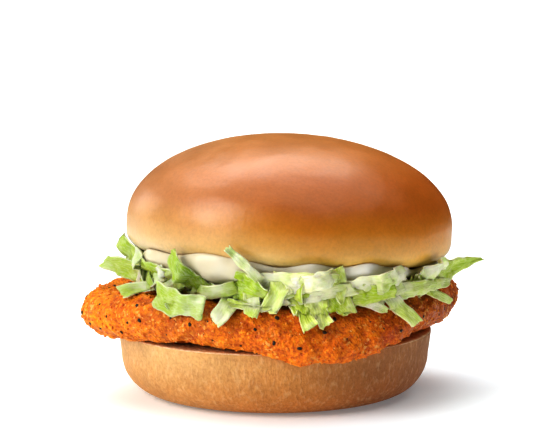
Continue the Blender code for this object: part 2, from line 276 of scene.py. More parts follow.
def shaded(tree, colour, amount, factor, *stops):  # a colour times a ramp, by amount
    return mixed(tree, amount, colour, ramp(tree, factor, *stops), "MULTIPLY")


def clouds(tree, place, scale, detail=3.0, roughness=0.5):
    return node(tree, "ShaderNodeTexNoise", {
        "Vector": place, "Scale": scale, "Detail": detail, "Roughness": roughness}).outputs[0]


def newMaterial(name, sockets):
    made = bpy.data.materials.new(name)
    made.use_nodes = True
    shader = made.node_tree.nodes["Principled BSDF"]
    for socket, value in sockets.items():
        shader.inputs[socket].default_value = value
    return made, made.node_tree, shader


def bumps(tree, shader, *layers):  # (height, strength, distance in metres), laid over one another
    normal = None
    for height, strength, distance in layers:
        made = node(tree, "ShaderNodeBump", {
            "Height": height, "Strength": strength, "Distance": distance})
        if normal:
            tree.links.new(normal, made.inputs["Normal"])
        normal = made.outputs[0]
    tree.links.new(normal, shader.inputs["Normal"])


def openTree(name, defaults):  # a geometry tree with a named input for each default value
    tree = bpy.data.node_groups.new(name, "GeometryNodeTree")
    face = tree.interface
    face.new_socket("Geometry", in_out="INPUT", socket_type="NodeSocketGeometry")
    for label, value in defaults.items():
        kind = "NodeSocketInt" if isinstance(value, int) else "NodeSocketFloat"
        face.new_socket(label, in_out="INPUT", socket_type=kind).default_value = value
    face.new_socket("Material", in_out="INPUT", socket_type="NodeSocketMaterial")
    face.new_socket("Geometry", in_out="OUTPUT", socket_type="NodeSocketGeometry")
    return tree, tree.nodes.new("NodeGroupInput").outputs


def closeTree(tree, geometry, material):
    real = node(tree, "GeometryNodeRealizeInstances", {0: geometry})
    painted = node(tree, "GeometryNodeSetMaterial", {
        "Geometry": real.outputs[0], "Material": material})
    tree.links.new(painted.outputs[0], tree.nodes.new("NodeGroupOutput").inputs[0])
    return tree


def stored(tree, geometry, name, value, domain="POINT"):
    return node(tree, "GeometryNodeStoreNamedAttribute", {
        "Geometry": geometry, "Name": name, "Value": value},
        data_type="FLOAT", domain=domain).outputs[0]


def strewn(tree, spots, piece, seed, size, lowTurn, highTurn):  # pieces on points, each turned
    spin = node(tree, "FunctionNodeRandomValue", {
        0: lowTurn, 1: highTurn, "Seed": seed}, data_type="FLOAT_VECTOR")
    swung = node(tree, "FunctionNodeRotateEuler", {
        0: spots.outputs["Rotation"], 1: spin.outputs[0]}, space="LOCAL")
    return node(tree, "GeometryNodeInstanceOnPoints", {
        "Points": spots.outputs["Points"], "Instance": piece,
        "Rotation": swung.outputs[0], "Scale": size}).outputs[0]


def turnedTree():  # turns a profile about Z and closes its seam and poles
    tree, given = openTree("turnedForm", {"Steps": 96, "Merge Distance": 0.00001})
    size = node(tree, "GeometryNodeAttributeDomainSize", {0: given["Geometry"]})
    count = size.outputs["Point Count"]
    grid = node(tree, "GeometryNodeMeshGrid", {
        "Vertices X": maths(tree, "ADD", given["Steps"], 1.0), "Vertices Y": count})
    index = node(tree, "GeometryNodeInputIndex").outputs[0]
    turn = maths(tree, "FLOOR", maths(tree, "DIVIDE", index, count))
    angle = maths(tree, "MULTIPLY", maths(tree, "DIVIDE", turn, given["Steps"]), 2 * math.pi)
    sampled = node(tree, "GeometryNodeSampleIndex", data_type="FLOAT_VECTOR", domain="POINT")
    tree.links.new(given["Geometry"], sampled.inputs["Geometry"])
    tree.links.new(node(tree, "GeometryNodeInputPosition").outputs[0], sampled.inputs["Value"])
    tree.links.new(maths(tree, "MODULO", index, count), sampled.inputs["Index"])
    swung = node(tree, "ShaderNodeVectorRotate", {
        "Vector": sampled.outputs[0], "Angle": angle}, rotation_type="Z_AXIS")
    placed = node(tree, "GeometryNodeSetPosition", {
        "Geometry": grid.outputs["Mesh"], "Position": swung.outputs[0]})
    closed = node(tree, "GeometryNodeMergeByDistance", {
        "Geometry": placed.outputs[0], "Distance": given["Merge Distance"]})
    return closeTree(tree, closed.outputs[0], given["Material"])


def turned(name, profile, steps, material):  # profile is (radius, height) pairs from top to bottom
    line = bpy.data.meshes.new(name + "Line")
    points = [(radius * mm, 0, height * mm) for radius, height in profile]
    line.from_pydata(points, [(i, i + 1) for i in range(len(points) - 1)], [])
    mesh = grown(name, line, turnedForm, {"Steps": steps, "Material": material})
    faceOutwards(mesh)
    return mesh


turnedForm = turnedTree()


# Bun crown

crownLook = {
    "steps": 168, "domeRings": 44, "edgeRings": 22, "dimple": 0.1,
    # direction, width and depth of each
    "creases": ((-84, 1.3, 0.2), (-58.5, 1.2, 0.25), (-140, 2.0, 0.12), (40, 2.0, 0.15)),
    # paleEdge is the bun's own pale bottom band, made paler still as painted light against the
    # shade under the crown's edge
    "paleEdge": (0.95, 0.74, 0.36), "goldEdge": (0.72, 0.40, 0.085), "amber": (0.63, 0.245, 0.02),
    # top is paler than brown as a painted sheen on the dome's top
    "brown": (0.52, 0.155, 0.008), "top": (0.62, 0.27, 0.06), "cut": (0.82, 0.66, 0.4),
    # painted light and shade from left to right: a paler, bluer sheen on the left, painted light
    # lifting the shaded right side
    "across": ((0.0, (0.93, 1.16, 2.1)), (0.6, (1.0, 0.95, 0.68)), (1.0, (1.42, 1.36, 1.1))),
    # painted sheen on the left side, and how much of it there is from left to right
    "paintedSheen": (0.85, 0.72, 0.62), "paintedSheenAcross": ((0.0, 0.15), (0.12, 0.12), (0.32, 0.0)),
}


def crownProfile():
    dome = []
    for i in range(crownLook["domeRings"]):
        a = math.radians(90 * i / crownLook["domeRings"])
        dome.append((bun["crownRadius"] * math.sin(a) ** (2 / bun["domePower"]),
                     bun["crownRise"] * math.cos(a) ** (2 / bun["domePower"])))
    cutHeight = -bun["crownCut"]
    edge = []
    for i in range(crownLook["edgeRings"]):
        height = cutHeight * (i / crownLook["edgeRings"]) ** 0.8
        edge.append((crownWall(height), height))
    cutRadius = crownWall(cutHeight)
    rim = [(cutRadius + 0.15, cutHeight + 0.1), (cutRadius - 0.3, cutHeight)]
    return [*dome, *edge, *rim, *((cutRadius * share, cutHeight) for share in (0.66, 0.33, 0))]


def shapeCrown(mesh):
    for vert in mesh.vertices:
        point = vert.co / mm
        radius, angle = polar(point)
        if point.z > 0:
            share = math.sin(math.pi * min(point.z / bun["crownRise"], 1.0))
            uneven = math.sin(2 * angle + 0.6) + 0.6 * math.sin(3 * angle + 2.0)
            radius += bun["swell"] * uneven * share
        low = ease(point.z, -10.5, 3) * (1 - ease(point.z, -4, 5))
        radius -= sum(hump(angle, c, w) * depth for c, w, depth in crownLook["creases"]) * low
        point = at(radius, angle, point.z)
        dimple = noise.noise(point / 7) + 0.6 * noise.noise(point / 3)
        if radius > 1:
            point += point.normalized() * crownLook["dimple"] * dimple * ease(point.z, -10.7, 2)
        vert.co = (crownPlace @ point) * mm


def glazedBunMaterial():
    made, tree, shader = newMaterial("glazedBun", {
        "Roughness": 0.4, "Specular IOR Level": 0.9, "Subsurface Weight": 0.04,
        "Subsurface Radius": (1.0, 0.35, 0.12), "Subsurface Scale": 0.002})
    place = node(tree, "ShaderNodeTexCoord").outputs["Object"]
    local = node(tree, "ShaderNodeMapping", {
        "Vector": place, "Location": crownCentre * mm, "Rotation": crownTilt},
        vector_type="TEXTURE").outputs[0]
    height = coordinate(tree, local, "Z")
    drifted = maths(tree, "MULTIPLY_ADD", clouds(tree, local, 40.0), 0.006, height)
    line = spread(tree, drifted, -0.008, 0.034, 0.0, 1.0)
    crust = ramp(tree, line, (0.0, crownLook["paleEdge"]), (0.13, crownLook["goldEdge"]),
                 (0.3, crownLook["amber"]), (0.46, crownLook["brown"]), (0.64, crownLook["brown"]),
                 (0.95, crownLook["top"]))
    across = fromLeft(tree, local, -0.045, 0.045)
    # painted light and shade: the crown's colour tinted from left to right
    crust = shaded(tree, crust, 1.0, across, *crownLook["across"])
    # painted sheen: a pale colour mixed into the crown's left side
    paintedSheen = ramp(tree, across, *crownLook["paintedSheenAcross"])
    crust = mixed(tree, paintedSheen, crust, crownLook["paintedSheen"])
    patches = clouds(tree, local, 90.0, 4.0)
    crust = shaded(tree, crust, 0.45, patches, (0.3, 0.78), (0.7, 1.0))
    pores = clouds(tree, local, 1000.0, 3.0, 0.7)
    crust = shaded(tree, crust, 0.3, pores, (0.32, 0.65), (0.6, 1.0))
    underside = maths(tree, "LESS_THAN", height, (0.05 - bun["crownCut"]) * mm)
    crust = mixed(tree, underside, crust, crownLook["cut"])
    tree.links.new(crust, shader.inputs["Base Color"])
    tree.links.new(spread(tree, patches, 0.3, 0.7, 0.34, 0.44), shader.inputs["Roughness"])
    bumps(tree, shader, (clouds(tree, local, 260.0), 0.2, 0.0006), (pores, 0.15, 0.0002))
    return made


glazedBun = glazedBunMaterial()
crownMesh = turned("bunCrown", crownProfile(), crownLook["steps"], glazedBun)
shapeCrown(crownMesh)
bunCrown = objectFrom("bunCrown", crownMesh)
dress(bunCrown, "bun_crown", glazedBun)


# Bun heel

heelLook = {
    "steps": 176, "wallRings": 26, "wave": 0.3, "pucker": 0.14,
    "foot": (0.74, 0.33, 0.09), "side": (0.68, 0.34, 0.11), "shoulder": (0.74, 0.43, 0.17),
    # the pale wrinkle colour is a painted highlight on the wrinkles' ridges
    "crumb": (0.88, 0.70, 0.46), "crumbShade": (0.7, 0.45, 0.22), "paintedWrinkleHighlight": (0.88, 0.62, 0.36),
    # painted light and shade from left to right: a paler, bluer sheen on the left, painted shade on
    # the right
    "across": ((0.0, (0.93, 1.04, 1.18)), (0.55, (0.95, 0.84, 0.67)), (1.0, (0.70, 0.545, 0.5))),
}


def heelProfile():
    radius, height = bun["heelRadius"], bun["heelHeight"]
    corner, rim, lean = bun["heelCorner"], bun["heelRim"], bun["heelLean"]
    top = [(radius * share, height) for share in (0, 0.3, 0.6, 0.85)]
    lip = [(radius - rim + rim * math.sin(a), height - rim + rim * math.cos(a))
           for a in (math.radians(d) for d in range(0, 91, 15))]
    drop = height - rim - corner
    side = [(radius - lean * i / 6, corner + drop * (6 - i) / 6) for i in range(1, 6)]
    rings = heelLook["wallRings"]
    bends = [math.radians(90 * i / rings) for i in range(rings + 1)]
    low = [(radius - lean - corner * (1 - math.cos(a)), corner * (1 - math.sin(a))) for a in bends]
    return [*top, *lip, *side, *low, (low[-1][0] * 0.6, 0), (0, 0)]


def shapeHeel(mesh):
    for vert in mesh.vertices:
        point = vert.co / mm
        radius, angle = polar(point)
        side = ease(radius, 36, 8) * ease(point.z, 0.5, 4) * (1 - ease(point.z, 18.6, 0.9))
        wave = noise.noise(at(30, angle, point.z * 0.4) / 9)
        pucker = noise.noise(at(48, angle, point.z * 0.25) / 1.6)
        radius -= (heelLook["wave"] * (0.5 + wave) + heelLook["pucker"] * (0.5 + pucker)) * side
        vert.co = at(radius, angle, point.z) * mm


def toastedBunMaterial():
    made, tree, shader = newMaterial("toastedBun", {
        "Roughness": 0.6, "Specular IOR Level": 0.35, "Subsurface Weight": 0.05,
        "Subsurface Radius": (1.0, 0.4, 0.15), "Subsurface Scale": 0.002})
    place = node(tree, "ShaderNodeTexCoord").outputs["Object"]
    height = coordinate(tree, place, "Z")
    drifted = maths(tree, "MULTIPLY_ADD", clouds(tree, place, 60.0), 0.007, height)
    line = spread(tree, drifted, 0.003, 0.023, 0.0, 1.0)
    skin = ramp(tree, line, (0.0, heelLook["foot"]), (0.4, heelLook["side"]),
                (0.8, heelLook["shoulder"]))
    # painted light and shade: the heel's colour tinted from left to right
    skin = shaded(tree, skin, 1.0, fromLeft(tree, place, -0.03, 0.033), *heelLook["across"])
    patches = clouds(tree, place, 130.0, 4.0)
    skin = shaded(tree, skin, 0.5, patches, (0.3, 0.72), (0.7, 1.05))
    freckles = clouds(tree, place, 1100.0, 3.0, 0.6)
    skin = shaded(tree, skin, 0.4, freckles, (0.34, (0.72, 0.55, 0.42)), (0.6, 1.08))
    tall = node(tree, "ShaderNodeMapping", {"Vector": place, "Scale": (1.0, 1.0, 0.42)}).outputs[0]
    wrinkles = clouds(tree, tall, 850.0, 3.0, 0.6)
    # painted highlight: pale streaks along the wrinkles
    skin = mixed(tree, ramp(tree, wrinkles, (0.52, 0.0), (0.68, 0.3)), skin, heelLook["paintedWrinkleHighlight"])
    pores = clouds(tree, place, 700.0, 5.0)
    inside = ramp(tree, pores, (0.35, heelLook["crumbShade"]), (0.6, heelLook["crumb"]))
    slicedTop = maths(tree, "GREATER_THAN", height, (bun["heelHeight"] - 0.4) * mm)
    skin = mixed(tree, slicedTop, skin, inside)
    tree.links.new(skin, shader.inputs["Base Color"])
    bumps(tree, shader, (patches, 0.3, 0.001), (wrinkles, 0.8, 0.0006), (freckles, 0.3, 0.0003))
    return made


toastedBun = toastedBunMaterial()
heelMesh = turned("bunHeel", heelProfile(), heelLook["steps"], toastedBun)
shapeHeel(heelMesh)
bunHeel = objectFrom("bunHeel", heelMesh)
dress(bunHeel, "bun_heel", toastedBun)


# Chicken patty

pattyLook = {
    "segments": 580, "rings": 132,
    "flake": 0.22, "flakeSize": 4.2,  # crusty plates
    "grain": 0.42, "grainSize": 1.6,  # clumps of breading
    "crumb": 0.26, "crumbSize": 0.85,
    "pit": 0.25, "pitSize": 5.0,
    "deep": (0.50, 0.085, 0.006), "red": (0.72, 0.155, 0.006), "orange": (0.82, 0.235, 0.008),
    "gold": (0.90, 0.38, 0.03), "paleGrain": (0.88, 0.50, 0.14),
    # painted shade in the pits and painted light on the tops of the crust, then painted light and
    # shade from left to right
    "paintedShadeByHeight": ((0.15, (0.62, 0.42, 0.35)), (0.45, (0.92, 0.88, 0.85)), (0.85, (1.08, 1.12, 1.1))),
    "across": ((0.0, (1.0, 1.18, 0.8)), (0.13, (1.0, 1.12, 0.7)), (0.24, (0.82, 0.83, 0.5)),
               (0.4, (1.0, 1.04, 0.6)), (0.55, (1.04, 1.0, 0.7)), (0.75, (1.06, 0.97, 0.72)),
               (1.0, (0.72, 0.58, 0.55))),
}


def pattyPoint(angle, share):
    reach = pattyReach(angle)
    radius, height = slabSection(share, reach, pattyHalf(angle, reach))
    half = pattyHalf(angle, radius)
    height *= half / pattyHalf(angle, reach)
    point = at(radius, angle, bun["heelHeight"] + gap + half + height)
    size = patty["cragSize"]
    rough = noise.noise(point / size) + 0.5 * noise.noise(point / (0.45 * size))
    outward = ease(radius, reach - 2 * half, 2 * half)
    wide = radius + patty["crag"] * rough * outward
    lifted = point.z + pattyLift(angle, radius) + patty["crag"] * rough * height / half
    if wide < bun["heelRadius"] + 1.6:
        lifted = max(lifted, bun["heelHeight"] + gap)
    return at(wide, angle, lifted)


def roughenPatty(bm):
    relief = bm.verts.layers.float.new("crustHeight")
    moves = []
    for vert in bm.verts:
        point = vert.co
        radius, _ = polar(point)
        resting = point.z < bun["heelHeight"] + 1 and radius < bun["heelRadius"] + 0.5
        plates = math.tanh(3.0 * noise.noise(point / pattyLook["flakeSize"] + Vector((3, 1, 7))))
        clump = 0.45 - noise.voronoi(point / pattyLook["grainSize"])[0][0]
        crumb = 0.45 - noise.voronoi(point / pattyLook["crumbSize"])[0][0]
        pits = -max(0.0, noise.noise(point / pattyLook["pitSize"] + Vector((9, 4, 2))) - 0.2) * 3
        height = (pattyLook["flake"] * plates + pattyLook["grain"] * clump
                  + pattyLook["crumb"] * crumb + pattyLook["pit"] * pits)
        vert[relief] = 0.5 + 0.5 * max(-1.0, min(1.0, height / 0.6))
        moves.append(point.copy() if resting else point + vert.normal * height)
    for vert, moved in zip(bm.verts, moves):
        vert.co = moved


def breadingMaterial():
    made, tree, shader = newMaterial("breading", {
        "Roughness": 0.45, "Specular IOR Level": 0.35, "Subsurface Weight": 0.08,
        "Subsurface Radius": (1.0, 0.3, 0.08), "Subsurface Scale": 0.0015})
    place = node(tree, "ShaderNodeTexCoord").outputs["Object"]
    relief = node(tree, "ShaderNodeAttribute", attribute_name="crustHeight").outputs["Fac"]
    broad = clouds(tree, place, 85.0, 3.0, 0.55)
    base = ramp(tree, broad, (0.3, pattyLook["red"]), (0.45, pattyLook["orange"]))
    across = maths(tree, "SUBTRACT", fromLeft(tree, place, -0.055, 0.055), 0.06)
    across = maths(tree, "MULTIPLY_ADD", broad, 0.12, across)
    small = clouds(tree, place, 420.0, 4.0, 0.65)
    base = mixed(tree, ramp(tree, small, (0.3, 0.75), (0.46, 0.0)), base, pattyLook["deep"])
    base = mixed(tree, ramp(tree, small, (0.54, 0.0), (0.7, 0.6)), base, pattyLook["gold"])
    fine = clouds(tree, place, 1000.0, 3.0, 0.6)
    base = mixed(tree, ramp(tree, fine, (0.36, 0.7), (0.46, 0.0)), base, pattyLook["deep"])
    base = mixed(tree, ramp(tree, fine, (0.56, 0.0), (0.64, 0.9)), base, pattyLook["gold"])
    # painted light and shade: brighter on the left, painted shade on the right
    base = shaded(tree, base, 1.0, across, *pattyLook["across"])
    # painted shade in the crust's pits, painted light on its tops
    base = shaded(tree, base, 0.8, relief, *pattyLook["paintedShadeByHeight"])
    grains = node(tree, "ShaderNodeTexVoronoi", {"Vector": place, "Scale": 1300.0})
    pick = node(tree, "ShaderNodeSeparateColor", {0: grains.outputs["Color"]}).outputs[0]
    patch = ramp(tree, clouds(tree, place, 150.0, 2.0), (0.46, 0.0), (0.58, 0.7))
    pale = maths(tree, "MULTIPLY", ramp(tree, pick, (0.84, 0.0), (0.9, 1.0)), patch)
    base = mixed(tree, pale, base, pattyLook["paleGrain"])
    tree.links.new(base, shader.inputs["Base Color"])
    oily = spread(tree, clouds(tree, place, 240.0, 2.0), 0.35, 0.65, 0.32, 0.62)
    tree.links.new(oily, shader.inputs["Roughness"])
    bumps(tree, shader, (small, 0.45, 0.0008), (grains.outputs["Distance"], 0.5, 0.0004),
          (clouds(tree, place, 1900.0, 3.0), 0.5, 0.0003))
    return made


pattySkin = ballSkin(pattyLook["segments"], pattyLook["rings"], pattyPoint)
roughenPatty(pattySkin)
chickenPatty = objectFrom("chickenPatty", meshOf(pattySkin, "chickenPatty"))
dress(chickenPatty, "chicken_patty", breadingMaterial())


# Mayonnaise

mayoLook = {
    "segments": 240, "rings": 60, "lump": 0.8, "lumpSize": 6.5,
    "curl": 2.2,  # how far the squeezed-out rim curls up against the crown
    "cream": (0.80, 0.74, 0.60), "shade": (0.74, 0.66, 0.48),
    # painted light and shade from left to right: painted shade on the left, painted light on the
    # right
    "across": ((0.0, (0.86, 0.83, 0.76)), (1.0, (1.15, 1.2, 1.35))),
}


def mayoPoint(angle, share):
    reach = mayoReach(angle)
    half = mayoThickness(angle, reach) / 2
    radius, height = slabSection(share, reach, half)
    own = mayoThickness(angle, radius) / 2
    height *= own / half
    curl = mayoLook["curl"] * ease(radius, 43, 6) * (0.5 + 0.5 * height / own)
    point = at(radius, angle, min(mayoTop(radius) - own + height + curl, crownUnder(radius) - gap))
    lump = mayoLook["lump"] * noise.noise(point / mayoLook["lumpSize"]) * ease(radius, 34, 8)
    low = -lump if height < 0 else 0.0
    return crownPlace @ at(radius + lump, angle, point.z + 0.7 * low)


def mayoMaterial():
    made, tree, shader = newMaterial("mayoCream", {
        "Roughness": 0.28, "Specular IOR Level": 0.5, "Subsurface Weight": 0.25,
        "Subsurface Radius": (1.0, 0.85, 0.6), "Subsurface Scale": 0.003})
    place = node(tree, "ShaderNodeTexCoord").outputs["Object"]
    cloudy = clouds(tree, place, 120.0)
    cream = ramp(tree, cloudy, (0.3, mayoLook["shade"]), (0.65, mayoLook["cream"]))
    # painted light and shade: the cream tinted from left to right
    cream = shaded(tree, cream, 1.0, fromLeft(tree, place, -0.025, 0.015), *mayoLook["across"])
    tree.links.new(cream, shader.inputs["Base Color"])
    bumps(tree, shader, (cloudy, 0.25, 0.001))
    return made


mayoSkin = ballSkin(mayoLook["segments"], mayoLook["rings"], mayoPoint)
mayoLayer = objectFrom("mayoLayer", meshOf(mayoSkin, "mayoLayer"))
dress(mayoLayer, "mayonnaise", mayoMaterial())


# Shredded lettuce

lettuce = {
    "coreReach": 46.9, "coreWave": 0.4, "heapReach": 47.3, "room": 0.7,
    "thickness": 0.45, "layers": 3, "layerStep": 0.4, "sunk": 0.6, "rows": 22, "columns": 8,
    "ruffle": 0.6, "crumple": 1.9, "crumpleSize": 3.8, "tornEdge": 0.24,
    "backShreds": 15, "backFrom": 20, "backTo": 172, "backSeed": 7,
    "rib": (0.80, 0.80, 0.54), "pale": (0.62, 0.70, 0.25), "green": (0.50, 0.60, 0.07),
    "bright": (0.42, 0.55, 0.015), "dark": (0.26, 0.39, 0.01),
    # painted light and shade from left to right: painted shade on the left, painted light on the
    # right
    "across": ((0.0, (0.8, 0.82, 0.95)), (1.0, (1.16, 1.15, 1.2))),
}
# From and to, as direction and height, then width, how far tip and middle stand off,
# twist, how pointed the tip is, and the tone from white rib 0 to dark leaf 1
frontShreds = (
    (-150, 39, -173, 48.0, 6.0, 1.5, 1.5, 50, 0.2, 0.55),
    (-150, 38, -170, 41.0, 6.0, 10.0, 1.0, 25, 0.3, 0.55),
    (-150, 46, -152, 35.5, 4.0, 1.0, 1.5, 20, 0.2, 0.1),
    (-152, 40, -130, 39.0, 8.5, 1.0, 2.0, 20, 0.1, 0.6),
    (-135, 38, -146, 34.5, 6.0, 1.0, 1.0, 10, 0.1, 0.35),
    (-117, 37, -127, 47.3, 6.5, 1.5, 1.5, 20, 0.5, 0.75),
    (-130, 43, -123, 33.0, 5.5, 1.0, 2.0, 30, 0.1, 0.6),
    (-132, 35, -112, 33.0, 8.5, 1.0, 1.0, 10, 0.1, 0.42),
    (-120, 36, -103, 38.5, 4.5, 1.0, 3.0, 20, 0.1, 0.3),
    (-102, 39, -108, 29.5, 6.0, 1.0, 1.0, 15, 0.0, 0.2),
    (-104, 40, -93, 36.0, 8.5, 1.5, 2.0, 30, 0.1, 0.75),
    (-98, 39, -97, 31.5, 5.0, 1.0, 1.0, 10, 0.1, 0.35),
    (-107, 34, -88, 31.5, 3.5, 1.0, 0.5, 10, 0.6, 0.4),
    (-87, 42, -92, 32.0, 6.0, 1.0, 2.5, 20, 0.0, 0.4),
    (-91, 38, -105, 50.5, 2.8, 1.5, 1.0, 15, 0.2, 0.2),
    (-98, 41, -70, 41.5, 4.5, 1.5, 1.0, 15, 0.2, 0.15),
    (-88, 38, -70, 43.0, 5.5, 1.5, 2.5, 20, 0.2, 0.05),
    (-86, 36, -64, 38.5, 4.5, 1.0, 1.0, 15, 0.1, 0.15),
    (-70, 44, -68, 34.0, 5.5, 2.5, 1.0, 15, 0.9, 0.3),
    (-84, 37, -79, 28.0, 6.0, 1.0, 1.0, 10, 0.0, 0.5),
    (-77, 37, -74, 28.5, 6.0, 0.5, 1.0, 15, 0.0, 0.35),
    (-71, 37, -65, 30.0, 7.5, 0.5, 1.0, 10, 0.0, 0.5),
    (-68, 37, -44, 41.5, 6.5, 1.0, 1.5, 20, 0.2, 0.15),
    (-64, 36, -49, 37.0, 6.0, 1.0, 1.0, 15, 0.2, 0.65),
    (-63, 36, -51, 31.0, 3.5, 1.0, 0.5, 15, 0.4, 0.05),
    (-50, 36, -43, 27.0, 5.0, 1.5, 1.0, 15, 0.0, 0.2),
    (-48, 36, -24, 36.5, 5.0, 1.5, 1.0, 10, 0.6, 0.35),
    (-36, 37, -24, 42.5, 7.5, 3.0, 2.0, 35, 0.0, 0.1),
    (-24, 37, -6, 41.5, 8.5, 10.5, 0.0, 10, 1.0, 0.55),
    (-28, 36, -15, 35.5, 3.5, 2.5, 0.5, 10, 0.6, 0.3),
    (-28, 35, -16, 29.5, 3.0, 3.0, 0.5, 10, 0.3, 0.35),
    (-146, 37, -166, 40.5, 6.0, 1.0, 1.0, 25, 0.2, 0.2),
    (-133, 42, -141, 37.0, 4.5, 1.5, 1.5, 20, 0.3, 0.05),
)


def pattySide(angle, height, room):  # radius just outside the patty's rim, or 0 above and below it
    reach = pattyReach(angle)
    half = pattyHalf(angle, reach)
    up = height - (bun["heelHeight"] + gap + half + pattyLift(angle, reach))
    needed = half + patty["crag"] + room
    return reach - half + math.sqrt(needed ** 2 - up ** 2) if abs(up) < needed else 0.0


def crownSide(angle, height, room):  # radius just outside the crown or mayonnaise, or 0 below them
    radius = bun["crownRadius"]
    for _ in range(3):
        local = crownBack @ at(radius, angle, height)
        localRadius, localAngle = polar(local)
        reach = mayoReach(localAngle)
        if local.z < mayoUnder(localAngle, reach) - room:
            return 0.0
        outer = crownWall(min(max(local.z, 0.1 - bun["crownDrop"]), bun["crownRise"] - 1))
        radius += max(outer, reach) + room - localRadius
    return radius


def heapRim(angle):
    return lettuce["heapReach"] + crownCentre.x * math.cos(angle)


def heapWall(angle, height):
    room = lettuce["room"] + lettuce["thickness"] / 2
    return max(heapRim(angle), pattySide(angle, height, room), crownSide(angle, height, room))


def coreRimHeight(angle):
    rim = crownPlace @ at(lettuce["heapReach"], angle, mayoUnder(angle, lettuce["heapReach"]))
    return (rim.z + pattyTop(angle, heapRim(angle)) + patty["crag"]) / 2


def clearOfPatty(point, room):
    radius, angle = polar(point)
    reach = pattyReach(angle)
    half = pattyHalf(angle, radius)
    centre = bun["heelHeight"] + gap + half + pattyLift(angle, radius)
    needed = half + patty["crag"] + room
    out, up = max(radius - (reach - half), 0.0), point.z - centre
    away = math.hypot(out, up)
    if away >= needed or (out == 0 and up < 0):
        return point
    push = needed / max(away, 0.01)
    return at(radius + out * (push - 1), angle, centre + up * push)


def clearOfCrown(point, room):
    radius, angle = polar(point)
    return at(max(radius, crownSide(angle, point.z, room)), angle, point.z)


def clearOfBoth(point):
    room = lettuce["room"] + lettuce["thickness"] / 2
    return clearOfCrown(clearOfPatty(point, room), room)


def corePoint(angle, share):
    wave = math.sin(7 * angle) + 0.6 * math.sin(12 * angle + 1)
    reach = lettuce["coreReach"] + lettuce["coreWave"] * wave
    radius, height = slabSection(share, reach, 2)
    top = crownPlace @ at(radius, angle, mayoUnder(angle, radius) - 2.5 * gap)
    worldRadius, worldAngle = polar(top)
    low = pattyTop(worldAngle, worldRadius) + patty["crag"] + 2 * gap
    point = Vector((top.x, top.y, low + (top.z - low) * (0.5 + 0.25 * height)))
    crumple = 0.9 * noise.noise(point / 3.2) + 0.5 * noise.noise(point / 1.3)
    return point + at(crumple * ease(radius, 40, 6), worldAngle, 0)


def shredSpine(shred, layer, along):
    start, startHeight, end, endHeight, _, tip, bow, _, _, _ = shred
    angle = math.radians(start + (end - start) * along)
    height = startHeight + (endHeight - startHeight) * along
    standOff = lettuce["layerStep"] * layer - lettuce["sunk"] * (1 - along) ** 4
    standOff += tip * along ** 2 + bow * math.sin(math.pi * along)
    return at(heapWall(angle, height) + standOff, angle, height)


def addShred(bm, layers, shred, layer, rng):  # one shred as a crumpled sheet; its wall comes later
    rows, columns = lettuce["rows"], lettuce["columns"]
    width, twist, point = shred[4], math.radians(shred[7]), shred[8]
    spine = [shredSpine(shred, layer, i / rows) for i in range(rows + 1)]
    length = (spine[-1] - spine[0]).length
    ahead = (spine[-1] - spine[0]).normalized()
    out = Vector((spine[-1].x, spine[-1].y, 0)).normalized()
    across = ahead.cross(out).normalized()
    seed = Vector((rng.uniform(0, 90), rng.uniform(0, 90), 0))
    phase, beat, cup = rng.uniform(0, 6), rng.uniform(6, 12), rng.uniform(-0.8, 1.0)
    slant, hook = rng.uniform(-0.5, 0.5), rng.uniform(-1.0, 1.3)
    grid = []
    for i, middle in enumerate(spine):
        along = i / rows
        turn = Matrix.Rotation(twist * along, 3, ahead)
        half = 0.5 * width * (1 - (0.15 + 0.8 * point) * along ** 3)
        half *= 1 + lettuce["tornEdge"] * noise.noise(seed + Vector((along * length / 3, 0, 0)))
        row = []
        for j in range(columns + 1):
            over = 2 * j / columns - 1
            flat = Vector((along * length, over * half, 0)) / lettuce["crumpleSize"] + seed
            fold = lettuce["crumple"] * (0.2 - abs(noise.noise(flat))) * min(width / 5, 1)
            ruffle = lettuce["ruffle"] * math.sin(beat * along + phase + 1.4 * over) * over * over
            ruffle *= min(width / 5, 1.3)
            bend = cup * (1 - over * over) * width / 8 + hook * ease(along, 0.6, 0.5) ** 2
            skew = slant * over * half * (along - 0.5) * 2
            ragged = 0.6 * noise.noise(seed + Vector((over * 3, 5, 0))) * along ** 4
            place = middle + (turn @ across) * over * half + (turn @ out) * (fold + ruffle + bend)
            vert = bm.verts.new(clearOfBoth(place + ahead * (skew + ragged)))
            for which, value in zip(layers, (shred[9], over, along * length / 5 + seed.x)):
                vert[which] = value
            row.append(vert)
        grid.append(row)
    for upper, lower in zip(grid, grid[1:]):
        for j in range(columns):
            bm.faces.new((upper[j], upper[j + 1], lower[j + 1], lower[j]))


def backShreds():
    rng = random.Random(lettuce["backSeed"])
    span = lettuce["backTo"] - lettuce["backFrom"]
    for i in range(lettuce["backShreds"]):
        start = lettuce["backFrom"] + span * (i + 0.5) / lettuce["backShreds"] + rng.uniform(-3, 3)
        startHeight = coreRimHeight(math.radians(start))
        end = start + rng.uniform(-12, 12)
        endHeight = startHeight + rng.uniform(-6, 2.5)
        yield (start, startHeight, end, endHeight, rng.uniform(5, 8.5), rng.uniform(0.5, 4),
               rng.uniform(0.5, 2), rng.uniform(-25, 25), rng.uniform(0, 0.6), (i * 0.37) % 0.8)


fillerLook = {
    "Count Density": 110000.0, "Spacing": 0.0022, "Length": 0.0085, "Width": 0.0026,
    "Bend": 0.0016, "Crumple": 0.0014, "Crumple Scale": 260.0, "Seed": 12,
}


